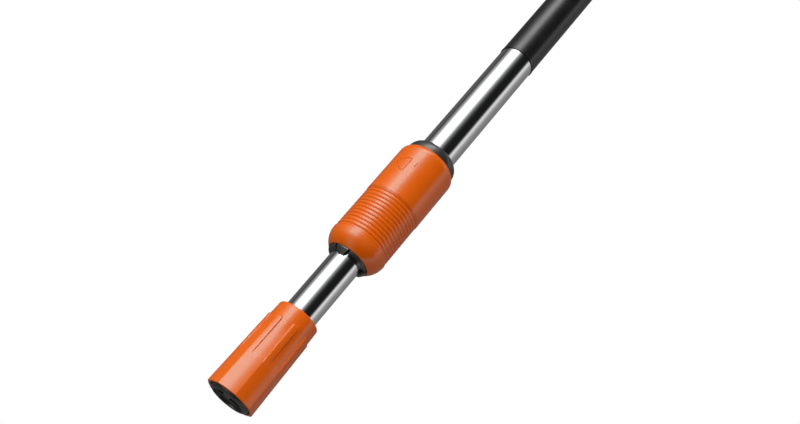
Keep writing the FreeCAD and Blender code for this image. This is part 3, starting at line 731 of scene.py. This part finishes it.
def ferruleColumns(x):
    # where the 42 lines of each eighth run at this station, in degrees from the corner
    f = ferruleLook
    along = min(max((x - f["pocketFoot"]) / (f["ribTop"] - f["pocketFoot"]), 0), 1)
    wallLeft = lerp(f["leftWall"][0], f["leftWall"][1], along)
    spread, wall = f["ribSpread"], f["rightWall"]
    lines = [spread * t for t in (0, 0.03, 0.07, 0.13, 0.22, 0.35, 0.5, 0.65, 0.78, 0.87, 0.93, 0.97)]
    lines += [spread + wall * t for t in (0, 0.15, 0.3, 0.5, 0.7, 0.85, 1)]
    floorStart, floorEnd = spread + wall, 45 - wallLeft
    lines += [floorStart + (floorEnd - floorStart) * t
              for t in (0.02, 0.06, 0.12, 0.2, 0.3, 0.4, 0.5, 0.6, 0.7, 0.8, 0.88, 0.94, 0.98)]
    lines += [floorEnd + wallLeft * t for t in (0, 0.1, 0.2, 0.33, 0.5, 0.66, 0.78, 0.88, 0.95, 0.985)]
    return lines, wallLeft


def makeFerrule():
    f = ferruleLook
    perEighth = len(ferruleColumns(0)[0])
    # stations along the pole lie close where the surface turns quickly
    xs = [ferruleFront + d for d in (0.0, 0.08, 0.2, 0.36, 0.6, 1.5, 3.5, 6, 9, 12, 15, 18, 21, 24, 26.5)]
    xs += [29.4, 29.8, 30.0, 30.2, 30.4, 30.6, 30.9, 31.3, 32, 33, 34, 35, 35.5, 35.9, 36.2, 36.5, 37,
           38, 40, 43, 46, 49, 52, 55, 58, 60.5, 61.6, 62, 62.3, 62.5, 62.7, 62.9, 63.1, 63.3, 63.5, 63.65,
           63.8, 63.95, 64.1, 64.25, 64.4, 64.7, 65.2, 66.5, 68.5, 70.5, 72.5, 74,
           ferruleTop - f["topRound"]]
    blank = 18.0  # radius of the outside before it gets its facets and ribs
    outside = [(x, blank) for x in xs]
    top = arcLine((ferruleTop - f["topRound"], f["bandTop"]), (ferruleTop, f["bandTop"] - f["topRound"]),
                  f["topRound"], -1, 7)
    mouth = f["mouth"] - 0.2
    inside = [(ferruleTop, f["bore"] + 0.1), (ferruleTop - 0.15, f["bore"]), (50, f["bore"]),
              (f["webEnd"], f["bore"]), (f["webEnd"], f["web"]), (f["webStart"], f["web"]),
              (f["webStart"], mouth), (12, mouth), (ferruleFront + 0.2, mouth),
              (ferruleFront, f["mouth"])]
    piece = turnedShape("ferruleRibbed", outside + top + inside, perEighth * 8)
    step = 360 / (perEighth * 8)
    for vertex in piece.data.vertices:
        x = vertex.co.x / mm
        radius = math.hypot(vertex.co.y, vertex.co.z) / mm
        index = round((rollOf(vertex.co) % 360) / step) % (perEighth * 8)
        eighth, column = divmod(index, perEighth)
        lines, wallLeft = ferruleColumns(x)
        phi = lines[column]
        if abs(radius - blank) < 0.01:
            station = min(range(len(xs)), key=lambda n: abs(xs[n] - x))
            radius = ferruleSurface(x, phi, wallLeft)
            if station < len(f["lip"]):
                radius -= f["lip"][station]
        vertex.co = rollPoint(x, radius, f["cornerRoll"] + 45 * eighth + phi)
    piece.data.update()
    clearSelection()
    piece.select_set(True)
    bpy.context.view_layer.objects.active = piece
    bpy.ops.object.mode_set(mode="EDIT")
    bpy.ops.mesh.select_all(action="SELECT")
    bpy.ops.mesh.normals_make_consistent(inside=False)
    bpy.ops.object.mode_set(mode="OBJECT")
    return finishPiece(piece, "lock_ferrule", "ferrule", orangeShell, 80, even=False)


makeFerrule()
print("ferrule made")


# twist sleeve: domed nose, ring grooves, plain barrel with its turn mark
sleeveLook = {
    "sides": 240, "opening": 17.05, "noseEnd": 146.0, "noseRound": 17.14, "radius": 23.5,
    "crest": 23.2, "grooveFirst": 148.72, "pitch": 3.284, "grooves": 12, "grooveFloor": 22.55,
    "grooveHalf": 0.1, "grooveSteps": 18, "shoulder": 229.0, "endRadius": 20.95, "endRound": 7.2,
    "bore": 20.8, "webStart": 197.0, "webEnd": 201.0, "web": 17.28, "noseLip": 1.4, "noseCone": 8.9}

# strokes are (roll in degrees, x in mm); floor and flank are from a stroke's middle, in mm
markLook = {
    "floor": 0.14, "flank": 0.15, "depth": 0.45, "cuts": 6, "x": (204.5, 220.5), "roll": (-40.0, 8.5),
    "arrow": ((-35.9, 213.1), (-18.9, 218.6), (-9.5, 218.6), (-9.5, 206.6), (-18.9, 206.6)),
    "dash": ((4.1, 213.1), (4.1, 218.1))}


def grooveLine():
    s = sleeveLook
    line = []
    samples = s["grooveSteps"]
    for groove in range(s["grooves"]):
        centre = s["grooveFirst"] + s["pitch"] * groove
        for step in range(samples):
            along = step / samples - 0.5
            away = abs(along) * 2  # 0 in the groove, 1 on the crest
            flank = min(max((away - s["grooveHalf"]) / (1 - s["grooveHalf"]), 0), 1)
            height = math.sqrt(1 - (1 - flank) ** 2) ** 1.15
            line.append((centre + along * s["pitch"], lerp(s["grooveFloor"], s["crest"], height)))
    return line


def strokeDistance(u, v, points, closed):
    pairs = list(zip(points, points[1:]))
    if closed:
        pairs.append((points[-1], points[0]))
    best = 1e9
    for a, b in pairs:
        a, b = Vector(a), Vector(b)
        run = b - a
        t = min(max((Vector((u, v)) - a).dot(run) / run.length_squared, 0), 1)
        best = min(best, (Vector((u, v)) - (a + run * t)).length)
    return best


def engraveMark(piece):
    s, m = sleeveLook, markLook
    clearSelection()
    piece.select_set(True)
    bpy.context.view_layer.objects.active = piece
    bpy.ops.object.mode_set(mode="EDIT")
    bpy.ops.mesh.select_mode(type="FACE")
    bpy.ops.mesh.select_all(action="DESELECT")
    bm = bmesh.from_edit_mesh(piece.data)

    def onPatch(co, margin=0.0):
        x, roll = co.x / mm, rollOf(co)
        return (m["x"][0] - margin <= x <= m["x"][1] + margin and
                m["roll"][0] - margin <= roll <= m["roll"][1] + margin and
                math.hypot(co.y, co.z) / mm > s["radius"] - 0.4)

    for face in bm.faces:
        face.select_set(onPatch(face.calc_center_median()))
    bmesh.update_edit_mesh(piece.data)
    bpy.ops.mesh.subdivide(number_cuts=m["cuts"])
    bpy.ops.object.mode_set(mode="OBJECT")
    unroll = math.radians(1) * s["radius"]
    arrow = [(roll * unroll, x) for roll, x in m["arrow"]]
    dash = [(roll * unroll, x) for roll, x in m["dash"]]
    for vertex in piece.data.vertices:
        if not onPatch(vertex.co, 1.0):
            continue
        x, roll = vertex.co.x / mm, rollOf(vertex.co)
        away = min(strokeDistance(roll * unroll, x, arrow, True),
                   strokeDistance(roll * unroll, x, dash, False))
        sink = 1 - eased((away - m["floor"]) / m["flank"], 0.3)
        vertex.co = rollPoint(x, s["radius"] - m["depth"] * sink, roll)
    piece.data.update()


def makeSleeve():
    s = sleeveLook
    noseStart, end = spanOf("twist_sleeve")
    bore = s["bore"]
    line = [(noseStart + 0.12, s["opening"] - 0.02), (noseStart, s["opening"] + 0.12)]
    line += arcLine(line[-1], (s["noseEnd"] - 0.15, s["radius"]), s["noseRound"], -1, 26)
    line += [(s["noseEnd"], s["radius"] - 0.1), (s["noseEnd"] + 0.05, s["crest"])]
    line += [p for p in grooveLine() if p[0] > s["noseEnd"] + 1.1]
    plain = s["grooveFirst"] + s["pitch"] * (s["grooves"] - 0.5)
    line += [(plain - 0.05, s["crest"]), (plain, s["radius"] - 0.12), (plain + 0.12, s["radius"])]
    x = plain + 1.0
    while x < s["shoulder"] - 0.3:  # a ring each millimetre, so that the mark has faces to sink in
        line.append((x, s["radius"]))
        x += 1.0
    line += [(s["shoulder"], s["radius"])]
    line += arcLine((s["shoulder"], s["radius"]), (end, s["endRadius"]), s["endRound"], -1, 12)
    line += [(end, bore), (215, bore), (s["webEnd"], bore), (s["webEnd"], s["web"]),
             (s["webStart"], s["web"]), (s["webStart"], bore), (170, bore),
             (noseStart + s["noseCone"], bore), (noseStart + s["noseLip"], s["opening"])]
    piece = turnedShape("twistSleeveGrooved", line, s["sides"], 36)
    engraveMark(piece)
    return finishPiece(piece, "twist_sleeve", "twist_sleeve", orangeGrooved, 42)


makeSleeve()
print("twist sleeve made")


# plain paper floor, soft studio light and the camera
studioLook = {
    "floorZ": -0.42, "floorSize": 24.0, "floorCamera": 1.01,
    "floorNear": (0.35, -0.45, 0.12, 0.26), "floorFar": (-0.5, -2.5, 0.0, 0.5),
    "fills": ({"name": "fillFront", "roll": 42.0, "strength": 0.68, "softness": 50.0,
               "tint": (1.0, 0.78, 0.7)},
              {"name": "fillBack", "roll": -72.0, "strength": 0.45, "softness": 50.0,
               "tint": (1.0, 1.0, 0.9)}),
    # brightness of the studio by roll, from -180 to 180 degrees
    "dome": ((-180, 0.2), (-98, 0.12), (-90, 0.045), (-83, 0.08), (-75, 0.2), (-66, 0.36),
             (-57, 0.75), (-46, 1.7), (-34, 4.2), (-14, 4.2), (-4, 1.3), (5, 0.55), (14, 0.17),
             (28, 0.03), (40, 0.012), (72, 0.012), (80, 0.2), (88, 0.85), (180, 0.4)),
    "reach": (-0.3, 0.05, 0.85, 1.0)}


def makeFloor():
    clearSelection()
    size = studioLook["floorSize"]
    bpy.ops.mesh.primitive_grid_add(x_subdivisions=8, y_subdivisions=8, size=size,
                                    location=(0.35, 0, studioLook["floorZ"]))
    floor = bpy.context.active_object
    floor.name = "studioFloor"
    bpy.ops.object.transform_apply(location=True, rotation=True, scale=True)
    material = bpy.data.materials.new("studioPaper")
    material.use_nodes = True
    tree = material.node_tree
    tree.nodes.clear()
    output = tree.nodes.new("ShaderNodeOutputMaterial")
    where = tree.nodes.new("ShaderNodeTexCoord").outputs["Object"]
    split = addNode(tree, "ShaderNodeSeparateXYZ")
    tree.links.new(where, split.inputs[0])
    fibre = addNode(tree, "ShaderNodeTexNoise", {"Scale": 900.0, "Detail": 3.0})
    tree.links.new(where, fibre.inputs["Vector"])
    seen = addNode(tree, "ShaderNodeEmission", {"Strength": studioLook["floorCamera"]})
    tree.links.new(spread(tree, fibre.outputs["Fac"], 0, 1, 0.985, 1.0), seen.inputs["Color"])
    glow = addNode(tree, "ShaderNodeEmission", {"Color": (1.0, 0.985, 0.97, 1.0)})
    near = spread(tree, split.outputs["Y"], *studioLook["floorNear"])
    far = spread(tree, split.outputs["Y"], *studioLook["floorFar"])
    tree.links.new(mathNode(tree, "ADD", near, far), glow.inputs["Strength"])
    path = addNode(tree, "ShaderNodeLightPath")
    mix = addNode(tree, "ShaderNodeMixShader")
    tree.links.new(path.outputs["Is Camera Ray"], mix.inputs[0])
    tree.links.new(glow.outputs[0], mix.inputs[1])
    tree.links.new(seen.outputs[0], mix.inputs[2])
    tree.links.new(mix.outputs[0], output.inputs["Surface"])
    material.cycles.emission_sampling = "NONE"  # found by bounces, which leaves less noise
    floor.data.materials.append(material)


def makeStudioDome():
    world = bpy.data.worlds.new("studioDome")
    bpy.context.scene.world = world
    world.use_nodes = True
    tree = world.node_tree
    tree.nodes.clear()
    output = tree.nodes.new("ShaderNodeOutputWorld")
    direction = tree.nodes.new("ShaderNodeTexCoord").outputs["Generated"]
    split = addNode(tree, "ShaderNodeSeparateXYZ")
    tree.links.new(direction, split.inputs[0])
    turned = mathNode(tree, "ARCTAN2", mathNode(tree, "MULTIPLY", split.outputs["Y"], -1.0),
                      split.outputs["Z"])
    ramp = addNode(tree, "ShaderNodeValToRGB")
    ramp.color_ramp.interpolation = "EASE"
    top = max(level for roll, level in studioLook["dome"])
    stops = ramp.color_ramp.elements
    while len(stops) > 1:
        stops.remove(stops[-1])
    for index, (roll, level) in enumerate(studioLook["dome"]):
        stop = stops[0] if index == 0 else stops.new((roll + 180) / 360)
        stop.position = (roll + 180) / 360
        stop.color = (level / top, level / top, level / top, 1)
    tree.links.new(spread(tree, turned, -math.pi, math.pi), ramp.inputs["Fac"])
    a, b, c, d = studioLook["reach"]
    fadeIn = addNode(tree, "ShaderNodeMapRange", {"From Min": a, "From Max": b, "To Min": 0.12},
                     interpolation_type="SMOOTHSTEP")
    fadeOut = addNode(tree, "ShaderNodeMapRange", {"From Min": c, "From Max": d, "To Min": 1.0,
                                                   "To Max": 0.15}, interpolation_type="SMOOTHSTEP")
    for node in (fadeIn, fadeOut):
        tree.links.new(split.outputs["X"], node.inputs["Value"])
    along = mathNode(tree, "MULTIPLY", fadeIn.outputs["Result"], fadeOut.outputs["Result"])
    strength = mathNode(tree, "MULTIPLY", ramp.outputs["Color"], mathNode(tree, "MULTIPLY", along, top))
    glow = addNode(tree, "ShaderNodeBackground", {"Color": (1.0, 1.0, 1.0, 1.0)})
    tree.links.new(strength, glow.inputs["Strength"])
    paper = addNode(tree, "ShaderNodeBackground", {"Color": (1.0, 1.0, 1.0, 1.0), "Strength": 0.97})
    path = addNode(tree, "ShaderNodeLightPath")
    mix = addNode(tree, "ShaderNodeMixShader")
    tree.links.new(path.outputs["Is Camera Ray"], mix.inputs[0])
    tree.links.new(glow.outputs[0], mix.inputs[1])
    tree.links.new(paper.outputs[0], mix.inputs[2])
    tree.links.new(mix.outputs[0], output.inputs["Surface"])


def makeFill(fill):
    clearSelection()
    bpy.ops.object.light_add(type="SUN", location=(0.3, 0.0, 0.9))
    lamp = bpy.context.active_object
    lamp.name = fill["name"]
    lamp.data.energy = fill["strength"]
    lamp.data.color = fill["tint"]
    lamp.data.angle = math.radians(fill["softness"])
    lamp.rotation_euler = (math.radians(fill["roll"]), 0, 0)
    lamp.visible_glossy = False  # it lightens the plastic, the dome makes the reflections


cameraLook = {"place": (-0.1381, -0.23835, 0.6173), "aim": (0.42456, 0.30160, -0.85369),
              "lens": 44.62, "shiftUp": 0.0329}


def makeCamera():
    data = bpy.data.cameras.new("studioCamera")
    camera = bpy.data.objects.new("studioCamera", data)
    bpy.context.scene.collection.objects.link(camera)
    camera.location = cameraLook["place"]
    camera.rotation_euler = Vector(cameraLook["aim"]).to_track_quat("-Z", "Y").to_euler()
    data.sensor_width = 36.0
    data.lens = cameraLook["lens"]
    data.shift_y = cameraLook["shiftUp"]
    data.clip_start, data.clip_end = 0.01, 60.0
    bpy.context.scene.camera = camera


makeFloor()
makeStudioDome()
for fill in studioLook["fills"]:
    makeFill(fill)
makeCamera()
bpy.context.scene.view_settings.view_transform = "Standard"
print("studio made")
